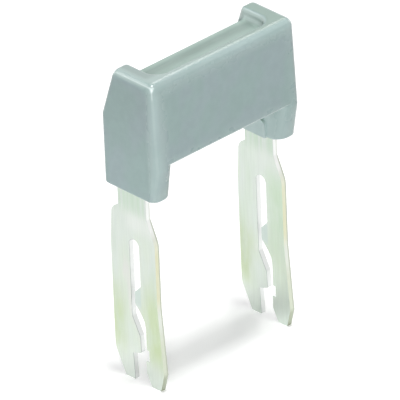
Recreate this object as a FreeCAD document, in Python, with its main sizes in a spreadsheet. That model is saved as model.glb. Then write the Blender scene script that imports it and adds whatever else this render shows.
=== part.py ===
import FreeCAD, Part
import os
import Sketcher

# Jumper bar that links two rail terminal blocks: a moulded body over a stamped strip with two forked legs.
# Millimetres. Z is up and zero at the leg tips, X runs along the bar, -Y is the side with the long plain face.
# Origin: middle of the bounding box, at the level of the leg tips.

doc = FreeCAD.newDocument("jumper_bar")
sheet = doc.addObject("Spreadsheet::Sheet", "sizes")

# Driving sizes. Those named y or z, and edges named front or rear, are places; the others are lengths.
SIZES = [
    ("tips", 0),
    # strip sheet and where its two legs stand
    ("leg_pitch", 12.0),
    ("sheet_thick", 0.4),
    ("blade_length", 15.1),
    ("neck_front", -0.82),
    ("neck_rear", 1.91),
    # shoulders where the neck widens into the blade
    ("rear_neck_length", 1.72),
    ("rear_shoulder_y", 2.6),
    ("rear_shoulder_drop", 0.4),
    ("rear_shoulder_run", 2.78),
    ("front_neck_length", 1.95),
    ("front_shoulder_run", 1.75),
    # outer edges of the blade
    ("blade_rear", 2.8),
    ("blade_front", -1.58),
    ("front_flare", 0.38),
    ("flare_start", 6.4),
    ("rear_taper_start", 1.95),
    ("rear_taper_end", 1.86),
    ("front_taper_start", 1.35),
    ("front_taper_end", -1.6),
    # slot between the arms
    ("slot_front", 0.01),
    ("slot_width", 0.98),
    ("slot_round_z", 10.66),
    # front arm: bump, mouth and notch
    ("bump_rear", 0.63),
    ("bump_low", 6.1),
    ("bump_flat", 0.88),
    ("bump_ramp", 0.62),
    ("mouth_upper_y", 0.05),
    ("mouth_upper_drop", 0.68),
    ("mouth_side_y", -0.26),
    ("mouth_side_drop", 0.49),
    ("front_arm_inner", -0.34),
    ("mouth_end_drop", 0.53),
    ("notch_bottom", 1.9),
    ("notch_height", 0.86),
    ("notch_front", -0.56),
    ("front_arm_low", -0.25),
    ("front_arm_bevel", 0.95),
    ("front_arm_foot", -0.72),
    # rear arm: nose that reaches across the slot
    ("nose_top", 3.6),
    ("nose_slant", 1.4),
    ("nose_upper_y", 0.29),
    ("nose_lower_y", 0.225),
    ("nose_bottom", 2.33),
    ("nose_root_y", 1.05),
    ("nose_root_drop", 0.29),
    ("rear_arm_foot", 0.96),
    # roundings of the stamped outline
    ("rear_shoulder_round", 0.8),
    ("front_shoulder_round", 1.6),
    ("neck_round", 0.35),
    ("blade_round", 1.2),
    ("bump_round", 0.22),
    ("nose_round", 0.12),
    # link plate inside the bar, standing on edge and bent at both ends
    ("link_front", -1.75),
    ("link_low_cover", 1.08),
    ("link_top_cover", 1.9),
    ("bend_inner", 0.5),
    ("tab_rear_top", 1.4),
    ("tab_rear_bevel", 1.4),
    # moulded body
    ("end_cover", 0.55),
    ("mould_height", 9.1),
    ("front_top", -2.5),
    ("crease_out", 0.3),
    ("crease_drop", 0.17),
    ("foot_front_in", 0.5),
    ("rear_top", 1.32),
    ("rear_knee_y", 2.61),
    ("rear_knee_drop", 3.75),
    ("rear_bottom", 2.6),
    # end walls, and the bar between them with its trough
    ("wall_thick_top", 1.45),
    ("wall_thick_bottom", 1.85),
    ("rear_step", 0.37),
    ("foot_height", 2.72),
    ("lip_width", 1.0),
    ("trough_depth", 0.8),
    # low raised panel on the inner face of each end wall's foot
    ("panel_height", 0.15),
    ("panel_clear", 0.2),
    ("panel_rear_in", 0.4),
    ("panel_rise", 1.35),
    ("panel_round", 0.5),
    # roundings of the moulding
    ("corner_round", 0.6),
    ("top_round", 0.6),
    ("foot_edge_round", 0.12),
    ("bar_edge_round", 0.25),
    ("trough_corner_round", 1.0),
]
# Places that follow from the driving sizes
DERIVED = [
    ("leg_outside", "=leg_pitch / 2 + sheet_thick / 2"),
    ("leg_inside", "=leg_pitch / 2 - sheet_thick / 2"),
    ("rear_shoulder_high", "=blade_length - rear_neck_length"),
    ("rear_shoulder_z", "=rear_shoulder_high - rear_shoulder_drop"),
    ("rear_shoulder_low", "=rear_shoulder_z - rear_shoulder_run"),
    ("front_shoulder_high", "=blade_length - front_neck_length"),
    ("front_shoulder_low", "=front_shoulder_high - front_shoulder_run"),
    ("blade_front_low", "=blade_front - front_flare"),
    ("slot_rear", "=slot_front + slot_width"),
    ("slot_middle", "=(slot_rear + slot_front) / 2"),
    ("bump_shelf", "=bump_low + bump_flat"),
    ("bump_top", "=bump_shelf + bump_ramp"),
    ("mouth_upper_z", "=bump_low - mouth_upper_drop"),
    ("mouth_side_z", "=mouth_upper_z - mouth_side_drop"),
    ("mouth_end_z", "=mouth_side_z - mouth_end_drop"),
    ("notch_top", "=notch_bottom + notch_height"),
    ("slot_end", "=nose_top + nose_slant"),
    ("nose_root_z", "=nose_bottom - nose_root_drop"),
    ("mould_length", "=leg_pitch + sheet_thick + 2 * end_cover"),
    ("mould_bottom", "=blade_length"),
    ("mould_top", "=mould_bottom + mould_height"),
    ("bar_bottom", "=mould_bottom + foot_height"),
    ("trough_floor", "=mould_top - trough_depth"),
    ("lip_inner", "=front_top + lip_width"),
    ("bar_rear", "=rear_top - rear_step"),
    ("rear_corner_round", "=rear_step * 0.9"),
    ("rim_round", "=min(lip_width - top_round; rear_corner_round) * 0.95"),
    ("trough_floor_round", "=(trough_depth - rim_round) * 0.85"),
    ("crease_y", "=front_top - crease_out"),
    ("crease_z", "=bar_bottom - crease_drop"),
    ("front_bottom", "=crease_y + foot_front_in"),
    ("rear_knee_z", "=mould_top - rear_knee_drop"),
    ("link_bottom", "=bar_bottom + link_low_cover"),
    ("link_top", "=mould_top - link_top_cover"),
    ("link_height", "=link_top - link_bottom"),
    ("link_rear", "=link_front + sheet_thick"),
    ("bend_outer", "=bend_inner + sheet_thick"),
    ("bend_end_y", "=link_front + bend_outer"),
    ("bend_end_x", "=leg_outside - bend_outer"),
    ("tab_rear_knee", "=link_top - tab_rear_bevel"),
    ("wall_inner_top", "=mould_length / 2 - wall_thick_top"),
    ("wall_inner_bottom", "=mould_length / 2 - wall_thick_bottom"),
    ("wall_slope", "=(wall_inner_top - wall_inner_bottom) / mould_height"),
    ("wall_at_bar", "=wall_inner_bottom + wall_slope * foot_height"),
    ("wall_at_floor", "=wall_inner_top - wall_slope * trough_depth"),
    ("cut_high", "=mould_top + trough_depth"),
    ("wall_cut_high", "=wall_inner_top + wall_slope * trough_depth"),
    ("cut_low", "=mould_bottom - foot_height"),
    ("wall_cut_low", "=wall_inner_bottom - wall_slope * foot_height"),
    ("foot_inner_round", "=wall_thick_bottom / 2"),
    ("panel_front", "=front_bottom + foot_inner_round + panel_clear"),
    ("panel_rear", "=rear_bottom - panel_rear_in"),
    ("panel_top", "=mould_bottom + panel_rise"),
    ("panel_face", "=wall_inner_bottom - panel_height"),
    ("panel_root", "=wall_inner_top - panel_face"),
]
for row, (alias, value) in enumerate(SIZES + DERIVED, start=1):
    sheet.set("A%d" % row, alias)
    sheet.set("B%d" % row, str(value))
    sheet.setAlias("B%d" % row, alias)
doc.recompute()


def size(name):
    if name.startswith("-"):
        return -size(name[1:])
    return float(getattr(sheet, name))


def bound(name):
    return "-sizes." + name[1:] if name.startswith("-") else "sizes." + name


def origin_plane(body, role):
    for feature in body.Origin.OriginFeatures:
        if feature.Role == role:
            return feature
    raise RuntimeError("no origin plane " + role)


def add_body(label):
    body = doc.addObject("PartDesign::Body", label)
    body.Label = label
    return body


def add_sketch(body, name, role, offset=None):
    sketch = doc.addObject("Sketcher::SketchObject", name)
    body.addObject(sketch)
    sketch.AttachmentSupport = [(origin_plane(body, role), "")]
    sketch.MapMode = "FlatFace"
    if offset is not None:
        sketch.setExpression(".AttachmentOffset.Base.z", bound(offset))
    doc.recompute()
    return sketch


# One coordinate of a point of the outline is tied to a size, measured from the origin
def tie_value(sketch, kind, edge, end, name):
    number = sketch.addConstraint(Sketcher.Constraint(kind, -1, 1, edge, end, size(name)))
    sketch.setExpression("Constraints[%d]" % number, bound(name))


# A closed outline. An arc leaves a corner listed in arcs, about the stated centre and bulging the stated way.
def add_outline(sketch, corners, arcs=None):
    arcs = arcs or {}
    count = len(corners)
    points = [FreeCAD.Vector(size(across), size(along), 0) for across, along in corners]
    for index in range(count):
        after = points[(index + 1) % count]
        if index in arcs:
            centre = FreeCAD.Vector(size(arcs[index][0]), size(arcs[index][1]), 0)
            bulge = FreeCAD.Vector(arcs[index][2], arcs[index][3], 0).normalize()
            peak = centre + bulge * (after - centre).Length
            sketch.addGeometry(Part.Arc(points[index], peak, after), False)
        else:
            sketch.addGeometry(Part.LineSegment(points[index], after), False)
    ends = []
    for index in range(count):
        turned = (sketch.getPoint(index, 1) - points[index]).Length > 1e-6
        ends.append((2, 1) if turned else (1, 2))
    for index in range(count):
        after = (index + 1) % count
        sketch.addConstraint(Sketcher.Constraint("Coincident", index, ends[index][1], after, ends[after][0]))
    for index, (across, along) in enumerate(corners):
        tie_value(sketch, "DistanceX", index, ends[index][0], across)
        tie_value(sketch, "DistanceY", index, ends[index][0], along)
    for index, arc in arcs.items():
        level = abs(points[index].y - points[(index + 1) % count].y) < 1e-6
        if level:
            tie_value(sketch, "DistanceY", index, 3, arc[1])
        else:
            tie_value(sketch, "DistanceX", index, 3, arc[0])
    doc.recompute()


def add_pad(body, name, sketch, length, middle=False, flip=False):
    pad = doc.addObject("PartDesign::Pad", name)
    body.addObject(pad)
    pad.Profile = sketch
    pad.Length = size(length)
    pad.setExpression("Length", bound(length))
    if middle:
        pad.SideType = "Symmetric"
    pad.Reversed = flip
    pad.Refine = True
    finish_feature(body, pad)
    return pad


def add_pocket(body, name, sketch, length=None, middle=False, flip=False):
    pocket = doc.addObject("PartDesign::Pocket", name)
    body.addObject(pocket)
    pocket.Profile = sketch
    if length is None:
        pocket.Type = "ThroughAll"
    else:
        pocket.Length = size(length)
        pocket.setExpression("Length", bound(length))
    if middle:
        pocket.SideType = "Symmetric"
    pocket.Reversed = flip
    pocket.Refine = True
    finish_feature(body, pocket)
    return pocket


def finish_feature(body, feature):
    body.Tip = feature
    doc.recompute()
    if not feature.isValid() or feature.Shape.isNull() or not feature.Shape.isValid():
        raise RuntimeError("feature failed: " + feature.Name)


# Edges of the newest feature whose middle lies in a box and which run the stated way
def edges_near(feature, low, high, run=None):
    names = []
    for number, edge in enumerate(feature.Shape.Edges, start=1):
        middle = edge.valueAt((edge.FirstParameter + edge.LastParameter) / 2)
        inside = all(low[k] - 1e-6 <= middle[k] <= high[k] + 1e-6 for k in range(3))
        if not inside:
            continue
        ends = edge.Vertexes[-1].Point - edge.Vertexes[0].Point
        if run is not None:
            if ends.Length < 1e-6:
                continue
            if abs(ends.normalize().dot(FreeCAD.Vector(*run))) < 0.9:
                continue
        names.append("Edge%d" % number)
    return names


def add_fillet(body, name, radius, boxes, run=None):
    base = body.Tip
    names = []
    for low, high in boxes:
        for edge in edges_near(base, low, high, run):
            if edge not in names:
                names.append(edge)
    if not names:
        raise RuntimeError("no edges for " + name)
    fillet = doc.addObject("PartDesign::Fillet", name)
    body.addObject(fillet)
    fillet.Base = (base, names)
    fillet.Radius = size(radius)
    fillet.setExpression("Radius", bound(radius))
    fillet.Refine = True
    finish_feature(body, fillet)
    return fillet


ALONG_X = (1, 0, 0)
ALONG_Z = (0, 0, 1)
NEAR = 0.03

# The stamped strip: one sheet, two forked legs and a link plate on edge between them
strip = add_body("jumper_strip")

LEG_OUTLINE = [
    ("neck_rear", "tab_rear_knee"),
    ("tab_rear_top", "link_top"),
    ("bend_end_y", "link_top"),
    ("bend_end_y", "link_bottom"),
    ("neck_front", "link_bottom"),
    ("neck_front", "front_shoulder_high"),
    ("blade_front", "front_shoulder_low"),
    ("blade_front", "flare_start"),
    ("blade_front_low", "front_taper_start"),
    ("front_taper_end", "tips"),
    ("front_arm_foot", "tips"),
    ("front_arm_low", "front_arm_bevel"),
    ("front_arm_low", "notch_bottom"),
    ("notch_front", "notch_bottom"),
    ("notch_front", "notch_top"),
    ("front_arm_inner", "notch_top"),
    ("front_arm_inner", "mouth_end_z"),
    ("mouth_side_y", "mouth_side_z"),
    ("mouth_upper_y", "mouth_upper_z"),
    ("bump_rear", "bump_low"),
    ("bump_rear", "bump_shelf"),
    ("slot_front", "bump_top"),
    ("slot_front", "slot_round_z"),
    ("slot_rear", "slot_round_z"),
    ("slot_rear", "slot_end"),
    ("nose_upper_y", "nose_top"),
    ("nose_lower_y", "nose_bottom"),
    ("nose_root_y", "nose_root_z"),
    ("rear_arm_foot", "tips"),
    ("rear_taper_end", "tips"),
    ("blade_rear", "rear_taper_start"),
    ("blade_rear", "rear_shoulder_low"),
    ("rear_shoulder_y", "rear_shoulder_z"),
    ("neck_rear", "rear_shoulder_high"),
]


# One leg with its end tab. The slot's top is a half circle.
def add_leg(name, offset):
    sketch = add_sketch(strip, name + "_outline", "YZ_Plane", offset)
    top = LEG_OUTLINE.index(("slot_front", "slot_round_z"))
    add_outline(sketch, LEG_OUTLINE, {top: ("slot_middle", "slot_round_z", 0, 1)})
    return add_pad(strip, name, sketch, "sheet_thick")


add_leg("near_leg", "-leg_outside")
add_leg("far_leg", "leg_inside")

LINK_OUTLINE = [
    ("leg_outside", "bend_end_y"),
    ("bend_end_x", "link_front"),
    ("-bend_end_x", "link_front"),
    ("-leg_outside", "bend_end_y"),
    ("-leg_inside", "bend_end_y"),
    ("-bend_end_x", "link_rear"),
    ("bend_end_x", "link_rear"),
    ("leg_inside", "bend_end_y"),
]
LINK_BENDS = {
    0: ("bend_end_x", "bend_end_y", 1, -1),
    2: ("-bend_end_x", "bend_end_y", -1, -1),
    4: ("-bend_end_x", "bend_end_y", -1, -1),
    6: ("bend_end_x", "bend_end_y", 1, -1),
}
link_sketch = add_sketch(strip, "link_outline", "XY_Plane", "link_bottom")
add_outline(link_sketch, LINK_OUTLINE, LINK_BENDS)
add_pad(strip, "link_plate", link_sketch, "link_height")


# A box round one corner of the leg outline, on both legs
def corner_box(across, along):
    y = size(across)
    z = size(along)
    return ((-99, y - NEAR, z - NEAR), (99, y + NEAR, z + NEAR))


add_fillet(strip, "rear_shoulders", "rear_shoulder_round", [
    corner_box("rear_shoulder_y", "rear_shoulder_z")], ALONG_X)
add_fillet(strip, "front_shoulders", "front_shoulder_round", [
    corner_box("blade_front", "front_shoulder_low")], ALONG_X)
add_fillet(strip, "neck_corners", "neck_round", [
    corner_box("neck_front", "front_shoulder_high")], ALONG_X)
add_fillet(strip, "blade_tapers", "blade_round", [
    corner_box("blade_rear", "rear_taper_start"),
    corner_box("blade_front", "flare_start")], ALONG_X)
add_fillet(strip, "bump_corners", "bump_round", [
    corner_box("slot_front", "bump_top"),
    corner_box("bump_rear", "bump_shelf"),
    corner_box("bump_rear", "bump_low"),
    corner_box("mouth_side_y", "mouth_side_z")], ALONG_X)
add_fillet(strip, "nose_corners", "nose_round", [
    corner_box("nose_upper_y", "nose_top"),
    corner_box("nose_lower_y", "nose_bottom")], ALONG_X)

# The moulded body: end walls with feet, and a thinner bar between them
mould = add_body("mould")
WALL_PROFILE = [
    ("front_top", "mould_top"),
    ("rear_top", "mould_top"),
    ("rear_knee_y", "rear_knee_z"),
    ("rear_bottom", "mould_bottom"),
    ("front_bottom", "mould_bottom"),
    ("crease_y", "crease_z"),
]
wall_sketch = add_sketch(mould, "wall_profile", "YZ_Plane")
add_outline(wall_sketch, WALL_PROFILE)
add_pad(mould, "walls", wall_sketch, "mould_length", middle=True)

REAR_CUT = [
    ("-wall_cut_low", "cut_low"),
    ("wall_cut_low", "cut_low"),
    ("wall_cut_high", "cut_high"),
    ("-wall_cut_high", "cut_high"),
]
rear_sketch = add_sketch(mould, "rear_recess_outline", "XZ_Plane", "-bar_rear")
add_outline(rear_sketch, REAR_CUT)
add_pocket(mould, "rear_recess", rear_sketch)

FOOT_CUT = [
    ("-wall_cut_low", "cut_low"),
    ("wall_cut_low", "cut_low"),
    ("wall_at_bar", "bar_bottom"),
    ("-wall_at_bar", "bar_bottom"),
]
foot_sketch = add_sketch(mould, "under_bar_outline", "XZ_Plane")
add_outline(foot_sketch, FOOT_CUT)
add_pocket(mould, "under_bar", foot_sketch, middle=True)

TROUGH_CUT = [
    ("-wall_at_floor", "trough_floor"),
    ("wall_at_floor", "trough_floor"),
    ("wall_cut_high", "cut_high"),
    ("-wall_cut_high", "cut_high"),
]
trough_sketch = add_sketch(mould, "trough_outline", "XZ_Plane", "-lip_inner")
add_outline(trough_sketch, TROUGH_CUT)
add_pocket(mould, "trough", trough_sketch)

# Low panels on the inner faces of the two feet
PANEL = [
    ("panel_front", "mould_bottom"),
    ("panel_rear", "mould_bottom"),
    ("panel_rear", "panel_top"),
    ("panel_front", "panel_top"),
]
far_panel = add_sketch(mould, "far_panel_outline", "YZ_Plane", "panel_face")
add_outline(far_panel, PANEL)
add_pad(mould, "far_panel", far_panel, "panel_root")
near_panel = add_sketch(mould, "near_panel_outline", "YZ_Plane", "-panel_face")
add_outline(near_panel, PANEL)
add_pad(mould, "near_panel", near_panel, "panel_root", flip=True)


# A box round a run of edges at both ends of the body, given as ranges of |x|, y and z
def both_ends(x_low, x_high, y_low, y_high, z_low, z_high):
    near = ((-x_high, y_low, z_low), (-x_low, y_high, z_high))
    far = ((x_low, y_low, z_low), (x_high, y_high, z_high))
    return [near, far]


end = size("mould_length") / 2
inner = size("wall_inner_bottom")
inner_top = size("wall_inner_top")
top = size("mould_top")
bottom = size("mould_bottom")
bar_low = size("bar_bottom")
front = size("front_top")
lip = size("lip_inner")
rear = size("rear_top")

add_fillet(mould, "panel_corners", "panel_round", both_ends(
    size("panel_face"), inner_top, size("panel_front") - NEAR, size("panel_front") + NEAR,
    size("panel_top") - NEAR, size("panel_top") + NEAR), ALONG_X)
add_fillet(mould, "trough_corners", "trough_corner_round", both_ends(
    inner, end, lip - NEAR, lip + NEAR, size("trough_floor"), top), ALONG_Z)
add_fillet(mould, "front_corners", "corner_round", both_ends(
    end - NEAR, end + NEAR, size("crease_y") - NEAR, max(front, size("front_bottom")) + NEAR,
    bottom, top), ALONG_Z)
front_and_corners = ((-end - NEAR, front - NEAR, top - NEAR), (end + NEAR, lip - NEAR, top + NEAR))
add_fillet(mould, "top_edges", "top_round", [front_and_corners] + both_ends(
    end - NEAR, end + NEAR, front, rear, top - NEAR, top + NEAR))
add_fillet(mould, "trough_floor_edges", "trough_floor_round", [
    ((-end, lip - NEAR, size("trough_floor") - NEAR), (end, size("bar_rear") - NEAR, size("trough_floor") + NEAR))])
add_fillet(mould, "foot_inner_corners", "foot_inner_round", both_ends(
    inner - NEAR, size("wall_at_bar") + NEAR, size("crease_y") - NEAR, size("front_bottom") + NEAR,
    bottom, bar_low), ALONG_Z)
add_fillet(mould, "foot_bottom_edges", "foot_edge_round", both_ends(
    inner - NEAR, end + NEAR, size("front_bottom") - NEAR, size("front_bottom") + size("corner_round") / 2,
    bottom - NEAR, bottom + NEAR))
add_fillet(mould, "bar_front_edge", "bar_edge_round", [
    ((-inner, size("crease_y") - NEAR, bar_low - NEAR), (inner, lip, bar_low + NEAR))], ALONG_X)
add_fillet(mould, "rear_inner_corners", "rear_corner_round", both_ends(
    inner - NEAR, inner_top + NEAR, rear, max(size("rear_knee_y"), size("rear_bottom")) + NEAR, bar_low, top))
front_rim = ((-inner, lip - NEAR, top - NEAR), (inner, lip + NEAR, top + NEAR))
add_fillet(mould, "rim_and_rear_edges", "rim_round", [front_rim] + both_ends(
    end - NEAR, end + NEAR, rear, max(size("rear_knee_y"), size("rear_bottom")) + NEAR, bottom, top)
    + both_ends(inner, end, rear - NEAR, rear + NEAR, top - NEAR, top + NEAR)
    + both_ends(inner_top - size("trough_corner_round"), inner_top + NEAR, lip, rear, top - NEAR, top + NEAR))

# The body is moulded round the strip, so its hollow is the strip's own shape
insulating_body = doc.addObject("Part::Cut", "insulating_body")
insulating_body.Label = "insulating_body"
insulating_body.Base = mould
insulating_body.Tool = strip
insulating_body.Refine = True
doc.recompute()

for thing in doc.Objects:
    if "Invalid" in thing.State or "Error" in thing.State:
        raise RuntimeError("object failed: " + thing.Name)

os.makedirs("parts", exist_ok=True)
for node in (insulating_body, strip):
    shape = node.Shape
    if shape.isNull() or not shape.isValid() or len(shape.Solids) != 1:
        raise RuntimeError("bad shape: " + node.Label)
    shape.exportStep("parts/" + node.Label + ".step")
    print(node.Label, round(shape.Volume, 2), shape.BoundBox)
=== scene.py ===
import math

import bpy
from mathutils import Matrix, Vector

MM = 0.001

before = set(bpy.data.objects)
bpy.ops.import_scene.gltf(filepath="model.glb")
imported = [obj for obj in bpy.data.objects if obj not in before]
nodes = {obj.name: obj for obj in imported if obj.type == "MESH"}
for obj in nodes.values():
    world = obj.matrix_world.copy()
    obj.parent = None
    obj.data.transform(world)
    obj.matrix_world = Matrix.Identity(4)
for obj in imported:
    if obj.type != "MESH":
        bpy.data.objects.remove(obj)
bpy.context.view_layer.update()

# Camera, as fitted to the photograph: the picture in pixels, angles in degrees, pixels per metre
PICTURE = 400
AZIMUTH = -42.686
ELEVATION = 29.554
ROLL = 2.4
DISTANCE = 761.3 * MM
SCALE = 14.5959 / MM
ANCHOR = Vector((0.0, -0.34, 1.70)) * MM
ANCHOR_PIXEL = (213.0, 330.0)
SENSOR = 36.0
CLIP_START = 0.05
CLIP_END = 20.0


# The way from the object to a camera or lamp that stands at this azimuth and elevation
def way_to(azimuth, elevation):
    a = math.radians(azimuth)
    e = math.radians(elevation)
    return Vector((math.sin(a) * math.cos(e), -math.cos(a) * math.cos(e), math.sin(e)))


def camera_axes():
    a = math.radians(AZIMUTH)
    r = math.radians(ROLL)
    back = way_to(AZIMUTH, ELEVATION)
    level = Vector((math.cos(a), math.sin(a), 0.0))
    upright = back.cross(level)
    right = level * math.cos(r) - upright * math.sin(r)
    up = level * math.sin(r) + upright * math.cos(r)
    return right, up, back


# The anchor, a place low on the object, is seen at its pixel
def add_camera():
    right, up, back = camera_axes()
    across = (ANCHOR_PIXEL[0] - PICTURE / 2) / SCALE
    above = (PICTURE / 2 - ANCHOR_PIXEL[1]) / SCALE
    data = bpy.data.cameras.new("camera")
    data.sensor_width = SENSOR
    data.lens = SENSOR * SCALE * DISTANCE / PICTURE
    data.clip_start = CLIP_START
    data.clip_end = CLIP_END
    camera = bpy.data.objects.new("camera", data)
    bpy.context.scene.collection.objects.link(camera)
    place = ANCHOR - right * across - up * above + back * DISTANCE
    turn = Matrix((right, up, back)).transposed().to_4x4()
    camera.matrix_world = Matrix.Translation(place) @ turn
    bpy.context.scene.camera = camera


add_camera()
bpy.context.scene.view_settings.view_transform = "Standard"


# Node-tree helpers
def new_material(name):
    material = bpy.data.materials.new(name)
    material.use_nodes = True
    tree = material.node_tree
    tree.nodes.clear()
    return material, tree


def add_node(tree, kind, **settings):
    node = tree.nodes.new(kind)
    for key, value in settings.items():
        setattr(node, key, value)
    return node


# Each input is a number, a colour or another node's output
def fill(tree, socket, value):
    if isinstance(value, bpy.types.NodeSocket):
        tree.links.new(value, socket)
    else:
        socket.default_value = value


def add_principled(tree):
    output = add_node(tree, "ShaderNodeOutputMaterial")
    shader = add_node(tree, "ShaderNodeBsdfPrincipled")
    tree.links.new(shader.outputs[0], output.inputs[0])
    return shader


def maths(tree, operation, first, second=0.0, clamp=False):
    node = add_node(tree, "ShaderNodeMath", operation=operation, use_clamp=clamp)
    fill(tree, node.inputs[0], first)
    fill(tree, node.inputs[1], second)
    return node.outputs[0]


def product(tree, *factors):
    result = factors[0]
    for factor in factors[1:]:
        result = maths(tree, "MULTIPLY", result, factor)
    return result


def largest(tree, *values):
    result = values[0]
    for value in values[1:]:
        result = maths(tree, "MAXIMUM", result, value)
    return result


# From start to stop while the value goes from first to last, smooth between and level beyond
def smooth(tree, value, first, last, start=0.0, stop=1.0):
    node = add_node(tree, "ShaderNodeMapRange", interpolation_type="SMOOTHSTEP")
    fill(tree, node.inputs["Value"], value)
    node.inputs["From Min"].default_value = first
    node.inputs["From Max"].default_value = last
    node.inputs["To Min"].default_value = start
    node.inputs["To Max"].default_value = stop
    return node.outputs[0]


# 1 between the two inner bounds, 0 outside the two outer ones
def window(tree, value, outer_low, inner_low, inner_high, outer_high):
    rise = smooth(tree, value, outer_low, inner_low)
    fall = smooth(tree, value, inner_high, outer_high, 1.0, 0.0)
    return product(tree, rise, fall)


# The Mix node has a pair of inputs and an output for each data type; these are the ones for colours
MIX_AMOUNT = 0
MIX_FIRST = 6
MIX_SECOND = 7
MIX_RESULT = 2


def blend_colors(tree, amount, first, second, kind="MIX"):
    node = add_node(tree, "ShaderNodeMix", data_type="RGBA", blend_type=kind)
    fill(tree, node.inputs[MIX_AMOUNT], amount)
    fill(tree, node.inputs[MIX_FIRST], first)
    fill(tree, node.inputs[MIX_SECOND], second)
    return node.outputs[MIX_RESULT]


# A colour made lighter or darker by a factor
def shade_color(tree, color, factor):
    return blend_colors(tree, 1.0, color, factor, "MULTIPLY")


def split(tree, vector):
    node = add_node(tree, "ShaderNodeSeparateXYZ")
    tree.links.new(vector, node.inputs[0])
    return node.outputs


# What the masks are made from: the place on the part in millimetres and the way the surface faces
class Surface:
    def __init__(self, tree):
        source = add_node(tree, "ShaderNodeTexCoord")
        scale = add_node(tree, "ShaderNodeVectorMath", operation="SCALE")
        tree.links.new(source.outputs["Object"], scale.inputs[0])
        scale.inputs["Scale"].default_value = 1 / MM
        self.place = scale.outputs[0]
        self.x, self.y, self.z = split(tree, self.place)
        geometry = add_node(tree, "ShaderNodeNewGeometry")
        self.facing_x, self.facing_y, self.facing_z = split(tree, geometry.outputs["Normal"])
        self.side = maths(tree, "SIGN", self.x)
        self.off_middle = maths(tree, "ABSOLUTE", self.x)
        self.outward = product(tree, self.facing_x, self.side)


def noise(tree, place, stretch, detail, rough=0.5, shift=0.0):
    mapping = add_node(tree, "ShaderNodeMapping")
    tree.links.new(place, mapping.inputs["Vector"])
    mapping.inputs["Scale"].default_value = stretch
    mapping.inputs["Location"].default_value = (shift, shift, shift)
    node = add_node(tree, "ShaderNodeTexNoise")
    tree.links.new(mapping.outputs[0], node.inputs["Vector"])
    node.inputs["Scale"].default_value = 1.0
    node.inputs["Detail"].default_value = detail
    node.inputs["Roughness"].default_value = rough
    return node.outputs["Fac"]


def bump(tree, height, distance, strength, under=None):
    node = add_node(tree, "ShaderNodeBump")
    fill(tree, node.inputs["Height"], height)
    node.inputs["Distance"].default_value = distance
    node.inputs["Strength"].default_value = strength
    if under is not None:
        tree.links.new(under, node.inputs["Normal"])
    return node.outputs[0]


# Colours of the grip
GREENISH = (0.254, 0.352, 0.340, 1)
BLUISH = (0.266, 0.346, 0.354, 1)
# Painted highlight on the roundings and the front face
ROUNDING_HIGHLIGHT = (0.345, 0.440, 0.429, 1)
NEAR_TOP = (0.342, 0.428, 0.410, 1)
FAR_TOP = (0.246, 0.335, 0.299, 1)
# Painted shade on the near wall's top toward the trough
WALL_TOP_SHADE = (0.268, 0.338, 0.323, 1)
# Painted highlight on the near wall's outer top edge
WALL_EDGE_HIGHLIGHT = (0.430, 0.530, 0.500, 1)
# Painted glint on the top's outer corners
CORNER_GLINT = (0.600, 0.690, 0.675, 1)
# Painted light on the feet's inner faces, less toward the front
FOOT_INSIDE_LIGHT_FRONT = (0.290, 0.375, 0.366, 1)
FOOT_INSIDE_LIGHT_REAR = (0.385, 0.480, 0.474, 1)
# Painted light on the end walls' inner faces in the trough
TROUGH_WALL_LIGHT = (0.400, 0.490, 0.465, 1)
# Painted light along the panels' front edges
PANEL_EDGE_LIGHT = (0.385, 0.480, 0.470, 1)
# Painted highlight on the bar's lower front edge
LOWER_EDGE_HIGHLIGHT = (0.58, 0.66, 0.65, 1)
FLOW_DARK = (0.232, 0.312, 0.280, 1)
FLOW_LIGHT = (0.262, 0.344, 0.312, 1)

# Noises of the grip: stretch and detail, then roughness and shift where they aren't 0.5 and 0
PATCH_NOISE = ((0.42, 0.42, 0.3), 2.0)
MOTTLE_NOISE = ((1.7, 1.7, 1.7), 3.0, 0.5, 7.0)
UNEVEN_NOISE = ((0.9, 0.9, 0.9), 2.0, 0.5, 3.0)
FLOW_NOISE = ((0.38, 1.5, 1.0), 3.0, 0.55, 11.0)
GLOSS_NOISE = ((1.3, 1.3, 1.3), 2.0, 0.5, 5.0)
GRAIN_NOISE = ((9.0, 9.0, 9.0), 1.0)
WAVE_NOISE = ((0.8, 0.8, 0.8), 1.0, 0.5, 9.0)

# Ramps of their values: first and last value, then start and stop where they aren't 0 and 1
PATCH_RAMP = (0.42, 0.6)
MOTTLE_SHADE = (0.3, 0.7, 0.97, 1.03)
UNEVEN_RAMP = (0.3, 0.65, 0.75, 1.0)
FLOW_RAMP = (0.35, 0.65)
GRIP_ROUGHNESS = (0.3, 0.7, 0.28, 0.33)

# Ramps by the way the grip faces, and ranges, which are four bounds for a window
ON_ROUNDING = (0.76, 0.985, 1.0, 0.0)
ON_CORNER = (0.80, 0.66, 0.0, 0.85)
TOP_UPWARD = (0.9, 0.99)
FLOOR_UPWARD = (0.5, 0.9)
EDGE_OUTWARD_RANGE = (0.15, 0.4, 0.85, 0.97)
CORNER_OUTWARD = (0.2, 0.4)
END_OUTWARD = (0.7, 0.98)
INWARD = (-0.3, -0.9)
LOWER_ROUNDING = (-0.25, -0.6)

# By height in millimetres
BELOW_LIP = (22.9, 23.7, 0.0, 0.6)
ABOVE_LOWER_EDGE = (18.6, 18.1, 0.0, 0.35)
DOWN_THE_FOOT = (18.0, 15.6, 0.0, 0.8)
RIM_TO_FOOT_RANGE = (17.5, 18.6, 22.5, 23.5)
RIM = (23.3, 23.8)
RIM_ROUNDING = (23.6, 23.9)
TOP_FACE = (24.0, 24.12)
NEAR_THE_TOP = (23.0, 23.3)
DOWN_THE_END = (24.0, 15.0, 0.90, 1.07)
FOOT_INSIDE = (18.2, 17.4)
INSIDE_ABOVE = (23.0, 23.5)
PANEL_TOP = (17.4, 16.8)
INTO_TROUGH = (24.0, 23.55)

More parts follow.
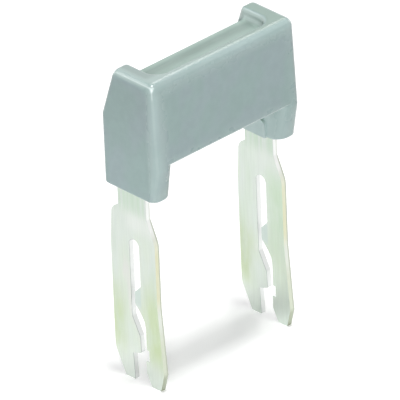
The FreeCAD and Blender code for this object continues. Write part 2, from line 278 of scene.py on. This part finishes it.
# By length in millimetres: the first three from the middle, the others from the near to the far end
BESIDE_END = (5.3, 6.15, 0.0, 0.75)
ON_FOOT = (4.9, 5.5)
PANEL_FACE = (5.5, 5.1)
FAR_END = (4.8, 5.6)
ALONG_RIM = (-5.5, 4.5, 0.91, 1.07)
ALONG_TOP = (-6.0, 6.0)
NEAR_WALL = (-5.0, -6.0, 0.0, 0.4)
NEAR_WALL_TOP_RANGE = (-6.3, -5.9, -4.6, -4.0)

# By depth in millimetres, which grows from front to rear
FRONT_FACE = (-1.7, -2.2)
BEHIND_LIP = (-1.65, -1.05)
BEHIND_CORNER = (-2.2, -1.2)
FOOT_DEPTH = (-2.3, -1.2)
PANEL_FRONT_RANGE = (-1.65, -1.3, -1.1, -0.9)
TROUGH_FRONT = (-0.6, 0.15, 1.24, 0.89)
TROUGH_REAR = (0.35, 0.9, 1.0, 1.35)

# How much less painted highlight the far end gets, and the grip's gloss and relief
FAR_END_LESS_HIGHLIGHT = 0.65
HIGHLIGHT_SMOOTHER = 0.09
TROUGH_ROUGHER = 0.2
GRAIN_DEPTH = 0.008 * MM
GRAIN_STRENGTH = 0.1
WAVE_DEPTH = 0.04 * MM
WAVE_STRENGTH = 0.12


# Painted highlight on the grip's roundings, spread from them over the front face beside the ends, under
# the lip and above the lower edge, and down the front of the feet, a little uneven
def paint_rounding_highlight(tree, at, flat, uneven):
    beside = smooth(tree, at.off_middle, *BESIDE_END)
    below_lip = smooth(tree, at.z, *BELOW_LIP)
    above_edge = smooth(tree, at.z, *ABOVE_LOWER_EDGE)
    down_foot = product(tree, smooth(tree, at.z, *DOWN_THE_FOOT), smooth(tree, at.off_middle, *ON_FOOT))
    spread = largest(tree, beside, below_lip, down_foot, above_edge)
    spread = product(tree, spread, smooth(tree, at.y, *FRONT_FACE))
    # The far end, which faces away from the light, gets less painted highlight between the rim and the
    # foot
    far_end = product(tree, smooth(tree, at.x, *FAR_END), window(tree, at.z, *RIM_TO_FOOT_RANGE))
    kept = maths(tree, "SUBTRACT", 1.0, product(tree, far_end, FAR_END_LESS_HIGHLIGHT))
    return product(tree, largest(tree, smooth(tree, flat, *ON_ROUNDING), spread), uneven, kept)


# Painted highlight on the rim, brighter toward the far end; the end walls' tops lighter at the near end
# and darker and greener at the far end, and painted shade on the near wall's top toward the trough
def paint_tops(tree, at, rounding_highlight, color):
    rim_highlight = product(tree, rounding_highlight, smooth(tree, at.z, *RIM))
    rim_highlight_color = shade_color(tree, color, smooth(tree, at.x, *ALONG_RIM))
    color = blend_colors(tree, rim_highlight, color, rim_highlight_color)
    top = product(tree, smooth(tree, at.facing_z, *TOP_UPWARD), smooth(tree, at.z, *TOP_FACE))
    top_color = blend_colors(tree, smooth(tree, at.x, *ALONG_TOP), NEAR_TOP, FAR_TOP)
    wall_top_shade = product(tree, window(tree, at.x, *NEAR_WALL_TOP_RANGE), smooth(tree, at.y, *BEHIND_LIP))
    top_color = blend_colors(tree, wall_top_shade, top_color, WALL_TOP_SHADE)
    return blend_colors(tree, top, color, top_color)


# Painted highlight on the near wall's outer top edge and painted glints on the top's outer corners; the
# end faces are painted darker at the top and lighter low down, where the floor lights them
def paint_ends(tree, at, flat, color):
    edge = product(tree, window(tree, at.outward, *EDGE_OUTWARD_RANGE), smooth(tree, at.z, *RIM_ROUNDING))
    edge = product(tree, edge, smooth(tree, at.x, *NEAR_WALL), smooth(tree, at.y, *BEHIND_CORNER))
    color = blend_colors(tree, edge, color, WALL_EDGE_HIGHLIGHT)
    corner_glint = product(tree, smooth(tree, flat, *ON_CORNER), smooth(tree, at.outward, *CORNER_OUTWARD))
    corner_glint = product(tree, corner_glint, smooth(tree, at.z, *NEAR_THE_TOP))
    color = blend_colors(tree, corner_glint, color, CORNER_GLINT)
    # Painted light and shade: the end faces darker at the top and lighter low down
    end_bounce_light = shade_color(tree, color, smooth(tree, at.z, *DOWN_THE_END))
    return blend_colors(tree, smooth(tree, at.outward, *END_OUTWARD), color, end_bounce_light)


# Painted light on the inner faces: on the feet, less toward the front under the bar, on the end walls'
# inner faces in the trough, and over the dark line along the panels' front edges
def paint_inner_faces(tree, at, uneven, color):
    inner = smooth(tree, at.outward, *INWARD)
    foot_light = product(tree, inner, smooth(tree, at.z, *FOOT_INSIDE), uneven)
    foot_depth = smooth(tree, at.y, *FOOT_DEPTH)
    foot_light_color = blend_colors(tree, foot_depth, FOOT_INSIDE_LIGHT_FRONT, FOOT_INSIDE_LIGHT_REAR)
    color = blend_colors(tree, foot_light, color, foot_light_color)
    trough_wall_light = product(tree, inner, smooth(tree, at.z, *INSIDE_ABOVE))
    color = blend_colors(tree, trough_wall_light, color, TROUGH_WALL_LIGHT)
    # Painted light along the panels' front edges
    edge = product(tree, window(tree, at.y, *PANEL_FRONT_RANGE), smooth(tree, at.off_middle, *PANEL_FACE))
    edge = product(tree, edge, smooth(tree, at.z, *PANEL_TOP))
    return blend_colors(tree, edge, color, PANEL_EDGE_LIGHT)


# Painted highlight on the rounding of the bar's lower front edge
def paint_lower_edge(tree, at, color):
    ahead = smooth(tree, at.facing_y, *LOWER_ROUNDING)
    down = smooth(tree, at.facing_z, *LOWER_ROUNDING)
    return blend_colors(tree, product(tree, ahead, down), color, LOWER_EDGE_HIGHLIGHT)


# The trough's floor is duller and greener, has drawn-out flow marks and a painted highlight along its
# sides
def paint_trough(tree, at, inside, color):
    flow = smooth(tree, noise(tree, at.place, *FLOW_NOISE), *FLOW_RAMP)
    floor = blend_colors(tree, flow, FLOW_DARK, FLOW_LIGHT)
    # Painted highlight along the floor's front and rear sides, darker in the middle
    sides = product(tree, smooth(tree, at.y, *TROUGH_FRONT), smooth(tree, at.y, *TROUGH_REAR))
    return blend_colors(tree, inside, color, shade_color(tree, floor, sides))


# Moulded plastic: grey with greenish and bluish patches, fine grain, and a painted highlight on the
# edges, which are also smoother
def grey_plastic():
    material, tree = new_material("grey_plastic_look")
    shader = add_principled(tree)
    at = Surface(tree)
    # Near 1 on a flat side, less on a rounding and least on a corner
    sizes = [maths(tree, "ABSOLUTE", part) for part in (at.facing_x, at.facing_y, at.facing_z)]
    flat = largest(tree, *sizes)
    uneven = smooth(tree, noise(tree, at.place, *UNEVEN_NOISE), *UNEVEN_RAMP)

    patches = smooth(tree, noise(tree, at.place, *PATCH_NOISE), *PATCH_RAMP)
    color = blend_colors(tree, patches, GREENISH, BLUISH)
    color = shade_color(tree, color, smooth(tree, noise(tree, at.place, *MOTTLE_NOISE), *MOTTLE_SHADE))
    # Painted highlight on the roundings and the front face
    rounding_highlight = paint_rounding_highlight(tree, at, flat, uneven)
    color = blend_colors(tree, rounding_highlight, color, ROUNDING_HIGHLIGHT)
    color = paint_tops(tree, at, rounding_highlight, color)
    color = paint_ends(tree, at, flat, color)
    color = paint_inner_faces(tree, at, uneven, color)
    color = paint_lower_edge(tree, at, color)
    inside = product(tree, smooth(tree, at.z, *INTO_TROUGH), smooth(tree, at.facing_z, *FLOOR_UPWARD))
    color = paint_trough(tree, at, inside, color)
    tree.links.new(color, shader.inputs["Base Color"])

    gloss = smooth(tree, noise(tree, at.place, *GLOSS_NOISE), *GRIP_ROUGHNESS)
    gloss = maths(tree, "SUBTRACT", gloss, product(tree, rounding_highlight, HIGHLIGHT_SMOOTHER))
    gloss = maths(tree, "ADD", gloss, product(tree, inside, TROUGH_ROUGHER))
    tree.links.new(gloss, shader.inputs["Roughness"])
    grain = bump(tree, noise(tree, at.place, *GRAIN_NOISE), GRAIN_DEPTH, GRAIN_STRENGTH)
    waves = bump(tree, noise(tree, at.place, *WAVE_NOISE), WAVE_DEPTH, WAVE_STRENGTH, grain)
    tree.links.new(waves, shader.inputs["Normal"])
    return material


# The strip's sheet in millimetres
SHEET_THICK = 0.4
LEG_MIDDLE = 6.0

# Colours of the tin's films, with the noise value at which each stands, and of what lies over them
FILM_GREEN = (0.30, (0.538, 0.612, 0.528, 1))
FILM_GREY = (0.48, (0.580, 0.632, 0.586, 1))
FILM_WARM = (0.60, (0.575, 0.636, 0.561, 1))
FILM_PINK = (0.72, (0.626, 0.623, 0.606, 1))
YELLOW_FILM = (0.479, 0.564, 0.361, 1)
FAR_GREEN = (0.504, 0.612, 0.483, 1)
PRESSED = (0.504, 0.588, 0.554, 1)
# Painted light at the tips, more on the far leg's front arm
TIP_LIGHT = (0.660, 0.710, 0.664, 1)
FAR_TIP_LIGHT = (0.725, 0.810, 0.730, 1)
SHOULDER = (0.640, 0.675, 0.640, 1)
# Painted shade at the neck under the grip, in streaks
NECK_SHADE_DARK = (0.495, 0.590, 0.498, 1)
NECK_SHADE_LIGHT = (0.558, 0.611, 0.570, 1)

# Colours of the cut edges
INNER_CUT = (0.73, 0.75, 0.735, 1)
BURR = (0.39, 0.44, 0.41, 1)
SHEARED = (0.66, 0.69, 0.635, 1)
SHEARED_LOW = (0.59, 0.63, 0.525, 1)
SHEARED_TIP = (0.42, 0.46, 0.36, 1)
SHEARED_SHOULDER = (0.79, 0.80, 0.78, 1)
COPPER = (0.635, 0.635, 0.462, 1)
BROKEN = (0.445, 0.475, 0.395, 1)

# Noises of the strip, and ramps of their values
FILM_NOISE = ((0.12, 0.5, 0.16), 2.0, 0.5, 2.0)
YELLOW_NOISE = ((0.3, 1.1, 0.35), 3.0, 0.6, 4.0)
LINE_NOISE = ((1.0, 4.0, 0.12), 2.0, 0.5, 8.0)
SCRATCH_NOISE = ((1.0, 14.0, 0.35), 4.0, 0.65, 6.0)
YELLOW_RAMP = (0.3, 0.62, 0.45, 1.0)
LINE_RAMP = (0.4, 0.62)
SCRATCH_SHADE = (0.3, 0.7, 0.955, 1.04)
COPPER_RAMP = (0.3, 0.6, 0.7, 1.0)
TIN_ROUGHNESS = (0.3, 0.7, 0.30, 0.42)

# By how far the strip faces along the bar: the sheet's sides do, its cut edges don't
ON_EDGE = (0.75, 0.35)

# By height in millimetres
YELLOW_RANGE = (0.2, 2.4, 4.8, 9.8)
REAR_FILM = (8.8, 5.5)
GREEN_RANGE = (4.0, 7.0, 10.0, 13.0)
PRESSED_RANGE = (5.6, 6.2, 7.3, 7.7)
TIP_HEIGHT = (3.4, 1.0, 0.0, 0.75)
FAR_TIP_HEIGHT = (6.5, 3.0, 0.0, 0.45)
SHOULDER_RANGE = (11.3, 12.4, 12.9, 13.7)
NECK_HEIGHT = (12.6, 14.0)
COPPER_RANGE = (5.8, 7.6, 10.5, 12.3)
LOW_CUT = (5.5, 3.5)
TIP_CUT = (1.6, 1.0)
SHOULDER_CUT = (11.5, 12.5)

# By length in millimetres, between the legs
ON_FAR_LEG = (-1.0, 1.0)
# Painted light: the far leg a little lighter
FAR_LEG_LIGHT = (-1.0, 1.0, 1.0, 1.04)
FAR_LESS_YELLOW = (-1.0, 1.0, 1.0, 0.45)
NEAR_SHOULDER = (1.0, -1.0, 0.3, 0.8)

# By depth in millimetres
FRONT_ARM = (0.5, -0.9)
REAR_ARM = (1.0, 2.4)
PRESSED_DEPTH_RANGE = (-0.05, 0.1, 0.7, 0.8)
TIP_DEPTH = (-2.1, -1.3, 0.5, 1.0)
SHOULDER_DEPTH = (1.6, 0.6)
OUTER_CUT = (-0.6, -1.1)

# By the place across the sheet, in sheet thicknesses from its middle
BURR_BAND = (-0.36, -0.44)
BROKEN_BAND = (0.18, 0.3)

# How strong the rear edge's film and the pressed bump's grey are, and the strip's gloss and relief
REAR_FILM_AMOUNT = 0.85
PRESSED_AMOUNT = 0.75
EDGE_ROUGHER = 0.08
BRUSH_DEPTH = 0.01 * MM
BRUSH_STRENGTH = 0.35


def tin_films(tree, at):
    ramp = add_node(tree, "ShaderNodeValToRGB")
    tree.links.new(noise(tree, at.place, *FILM_NOISE), ramp.inputs[0])
    stops = ramp.color_ramp.elements
    stops[0].position, stops[0].color = FILM_GREEN
    stops[1].position, stops[1].color = FILM_PINK
    for position, color in (FILM_GREY, FILM_WARM):
        stops.new(position).color = color
    # Painted light: the far leg a little lighter
    return shade_color(tree, ramp.outputs[0], smooth(tree, at.x, *FAR_LEG_LIGHT))


def paint_legs(tree, at, color):
    # Down the legs the film turns yellow-green, most along the front arm and the rear edge
    front = smooth(tree, at.y, *FRONT_ARM)
    front_film = product(tree, front, smooth(tree, at.x, *FAR_LESS_YELLOW))
    rear_film = product(tree, smooth(tree, at.y, *REAR_ARM), smooth(tree, at.z, *REAR_FILM))
    rear_film = product(tree, rear_film, REAR_FILM_AMOUNT)
    sides = maths(tree, "ADD", front_film, rear_film, clamp=True)
    uneven = smooth(tree, noise(tree, at.place, *YELLOW_NOISE), *YELLOW_RAMP)
    yellow = product(tree, window(tree, at.z, *YELLOW_RANGE), sides, uneven)
    color = blend_colors(tree, yellow, color, YELLOW_FILM)

    # Higher up, the far leg is plain green
    far = smooth(tree, at.x, *ON_FAR_LEG)
    green = product(tree, window(tree, at.z, *GREEN_RANGE), far, front, uneven)
    color = blend_colors(tree, green, color, FAR_GREEN)

    # The bump that closes the slot is greyer
    pressed = product(tree, window(tree, at.y, *PRESSED_DEPTH_RANGE), window(tree, at.z, *PRESSED_RANGE))
    color = blend_colors(tree, product(tree, pressed, PRESSED_AMOUNT), color, PRESSED)

    # Painted light at the tips, where they reflect the floor's shadow, and more of it on the far leg's
    # front arm
    tip_light = product(tree, smooth(tree, at.z, *TIP_HEIGHT), smooth(tree, at.y, *TIP_DEPTH))
    color = blend_colors(tree, tip_light, color, TIP_LIGHT)
    far_tip_light = product(tree, front, far, smooth(tree, at.z, *FAR_TIP_HEIGHT))
    return blend_colors(tree, far_tip_light, color, FAR_TIP_LIGHT)


# Brighter at the front shoulder, mostly on the near leg, and painted shade in streaks at the neck, under
# the grip
def paint_neck(tree, at, color):
    shoulder = product(tree, window(tree, at.z, *SHOULDER_RANGE), smooth(tree, at.y, *SHOULDER_DEPTH))
    shoulder = product(tree, shoulder, smooth(tree, at.x, *NEAR_SHOULDER))
    color = blend_colors(tree, shoulder, color, SHOULDER)
    lines = smooth(tree, noise(tree, at.place, *LINE_NOISE), *LINE_RAMP)
    neck_shade = blend_colors(tree, lines, NECK_SHADE_DARK, NECK_SHADE_LIGHT)
    return blend_colors(tree, smooth(tree, at.z, *NECK_HEIGHT), color, neck_shade)


# Cut edges: a bright sheared band and a rough broken one, by the place across the sheet
def cut_color(tree, at, scratches):
    offset = maths(tree, "SUBTRACT", at.off_middle, LEG_MIDDLE)
    across = maths(tree, "DIVIDE", product(tree, offset, at.side), SHEET_THICK)
    inner = blend_colors(tree, smooth(tree, across, *BURR_BAND), INNER_CUT, BURR)
    sheared = blend_colors(tree, smooth(tree, at.z, *LOW_CUT), SHEARED, SHEARED_LOW)
    sheared = blend_colors(tree, smooth(tree, at.z, *TIP_CUT), sheared, SHEARED_TIP)
    sheared = blend_colors(tree, smooth(tree, at.z, *SHOULDER_CUT), sheared, SHEARED_SHOULDER)
    copper = product(tree, window(tree, at.z, *COPPER_RANGE), smooth(tree, scratches, *COPPER_RAMP))
    outer = blend_colors(tree, copper, sheared, COPPER)
    outer = blend_colors(tree, smooth(tree, across, *BROKEN_BAND), outer, BROKEN)
    return blend_colors(tree, smooth(tree, at.y, *OUTER_CUT), inner, outer)


# Tin plate over copper alloy: brushed along the legs, thin coloured films, bare cut edges
def tin_plate():
    material, tree = new_material("tin_plate_look")
    shader = add_principled(tree)
    shader.inputs["Metallic"].default_value = 1.0
    at = Surface(tree)
    color = tin_films(tree, at)
    color = paint_legs(tree, at, color)
    color = paint_neck(tree, at, color)
    scratches = noise(tree, at.place, *SCRATCH_NOISE)
    color = shade_color(tree, color, smooth(tree, scratches, *SCRATCH_SHADE))
    edge = smooth(tree, maths(tree, "ABSOLUTE", at.facing_x), *ON_EDGE)
    color = blend_colors(tree, edge, color, cut_color(tree, at, scratches))
    tree.links.new(color, shader.inputs["Base Color"])

    gloss = smooth(tree, scratches, *TIN_ROUGHNESS)
    gloss = maths(tree, "ADD", gloss, product(tree, edge, EDGE_ROUGHER))
    tree.links.new(gloss, shader.inputs["Roughness"])
    tree.links.new(bump(tree, scratches, BRUSH_DEPTH, BRUSH_STRENGTH), shader.inputs["Normal"])
    return material


def dress(name, material):
    piece = nodes[name]
    piece.data.materials.clear()
    piece.data.materials.append(material)


dress("insulating_body", grey_plastic())
dress("jumper_strip", tin_plate())


# What the camera sees, straight or in a reflection, as against what lights the object
def seen_by_camera(tree):
    path = add_node(tree, "ShaderNodeLightPath")
    rays = ("Is Camera Ray", "Is Glossy Ray", "Is Transmission Ray")
    return largest(tree, *[path.outputs[ray] for ray in rays])


# One shader for what lights the object, another for what the camera sees
def pick_by_ray(tree, lighting, seen):
    pick = add_node(tree, "ShaderNodeMixShader")
    tree.links.new(seen_by_camera(tree), pick.inputs[0])
    tree.links.new(lighting.outputs[0], pick.inputs[1])
    tree.links.new(seen.outputs[0], pick.inputs[2])
    return pick.outputs[0]


# Floor: half its width in metres, and the glow's strength by the distance in metres from the object
FLOOR_HALF = 2.0
FLOOR_COLOR = (0.9, 0.9, 0.9, 1)
GLOW = (0.05, 0.18, 0.22, 1.0)


# White where it is seen, also far from the lamps, with the object's shadow kept
def floor_material():
    material, tree = new_material("floor_white")
    output = add_node(tree, "ShaderNodeOutputMaterial")
    plain = add_node(tree, "ShaderNodeBsdfDiffuse")
    plain.inputs["Color"].default_value = FLOOR_COLOR
    place = add_node(tree, "ShaderNodeTexCoord")
    away = add_node(tree, "ShaderNodeVectorMath", operation="LENGTH")
    tree.links.new(place.outputs["Object"], away.inputs[0])
    glow = add_node(tree, "ShaderNodeEmission")
    tree.links.new(smooth(tree, away.outputs["Value"], *GLOW), glow.inputs["Strength"])
    both = add_node(tree, "ShaderNodeAddShader")
    tree.links.new(plain.outputs[0], both.inputs[0])
    tree.links.new(glow.outputs[0], both.inputs[1])
    tree.links.new(pick_by_ray(tree, plain, both), output.inputs[0])
    return material


def add_floor():
    mesh = bpy.data.meshes.new("floor")
    signs = ((-1, -1), (1, -1), (1, 1), (-1, 1))
    corners = [(FLOOR_HALF * x, FLOOR_HALF * y, 0) for x, y in signs]
    mesh.from_pydata(corners, [], [(0, 1, 2, 3)])
    floor = bpy.data.objects.new("floor", mesh)
    bpy.context.scene.collection.objects.link(floor)
    floor.data.materials.append(floor_material())


add_floor()

WORLD_LIGHT = 0.15
WORLD_SEEN = 1.0


def add_background(tree, strength):
    background = add_node(tree, "ShaderNodeBackground")
    background.inputs["Color"].default_value = (1, 1, 1, 1)
    background.inputs["Strength"].default_value = strength
    return background


# World: soft grey light all round, white where it is seen
def add_world():
    world = bpy.data.worlds.new("studio")
    bpy.context.scene.world = world
    world.use_nodes = True
    tree = world.node_tree
    tree.nodes.clear()
    output = add_node(tree, "ShaderNodeOutputWorld")
    light = add_background(tree, WORLD_LIGHT)
    white = add_background(tree, WORLD_SEEN)
    tree.links.new(pick_by_ray(tree, light, white), output.inputs[0])


add_world()

# Area lamps aimed at the object's middle: azimuth and elevation, width and height in metres, watts
MIDDLE = Vector((0.0, 0.0, 12.0)) * MM
LAMP_DISTANCE = 0.30
LAMPS = {
    "top_light": (0.0, 85.0, 0.045, 0.045, 0.59),
    "front_light": (-43.0, 22.0, 0.09, 0.08, 0.445),
    "left_light": (-70.0, 6.0, 0.09, 0.04, 0.10),
    "back_light": (120.0, 43.0, 0.08, 0.08, 0.14),
    "rear_light": (-150.0, 50.0, 0.08, 0.08, 0.09),
    "right_light": (90.0, 60.0, 0.08, 0.08, 0.05),
}


def add_area(name, azimuth, elevation, width, height, watts):
    way = way_to(azimuth, elevation)
    data = bpy.data.lights.new(name, "AREA")
    data.shape = "RECTANGLE"
    data.size = width
    data.size_y = height
    data.energy = watts
    lamp = bpy.data.objects.new(name, data)
    lamp.location = MIDDLE + way * LAMP_DISTANCE
    lamp.rotation_mode = "QUATERNION"
    lamp.rotation_quaternion = (-way).to_track_quat("-Z", "Y")
    bpy.context.scene.collection.objects.link(lamp)


for lamp_name, lamp_values in LAMPS.items():
    add_area(lamp_name, *lamp_values)
